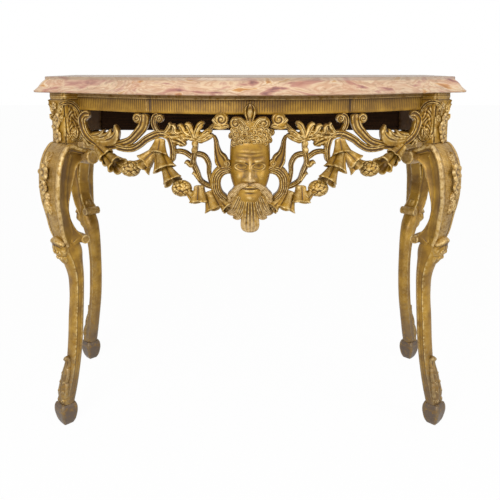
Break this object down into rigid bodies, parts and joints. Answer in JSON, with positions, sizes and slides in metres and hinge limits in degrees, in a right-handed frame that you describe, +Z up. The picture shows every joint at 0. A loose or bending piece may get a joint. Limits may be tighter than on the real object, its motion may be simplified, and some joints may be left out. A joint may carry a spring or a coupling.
{
  "type": "pier table",
  "caption": "Serpentine wall table: moulded marble slab on a giltwood frame with scrolled cabriole legs, pad feet and a pierced apron of scrolls, festoons and a satyr mask.",
  "frame": {"origin": "on the floor, under the middle of the slab", "axes": "+X to the viewer's right, +Y back to the wall, +Z up"},
  "size_m": [1.072, 0.575, 0.864],
  "materials": {
    "giltwood": "worn water gilding over gesso",
    "breccia_marble": "polished",
    "stained_wood": "dark stained",
    "bare_wood": "plain turned"
  },
  "bodies": {
    "root": {"apron_scrolls_left": "giltwood", "apron_scrolls_right": "giltwood", "back_rail": "stained_wood", "cheek_scroll_left": "giltwood", "cheek_scroll_right": "giltwood", "corner_carving_left": "giltwood", "corner_carving_right": "giltwood", "festoon_left": "giltwood", "festoon_right": "giltwood", "foot_back_left": "giltwood", "foot_back_right": "giltwood", "foot_dowels": "bare_wood", "foot_front_left": "giltwood", "foot_front_right": "giltwood", "front_rail_centre": "giltwood", "front_rail_left": "giltwood", "front_rail_right": "giltwood", "leg_back_left": "giltwood", "leg_back_right": "giltwood", "leg_front_left": "giltwood", "leg_front_right": "giltwood", "lunette_leaf_left": "giltwood", "lunette_leaf_right": "giltwood", "marble_top": "breccia_marble", "mask": "giltwood", "mask_crest": "giltwood", "side_rail_left": "giltwood", "side_rail_right": "giltwood"}
  },
  "joints": []
}
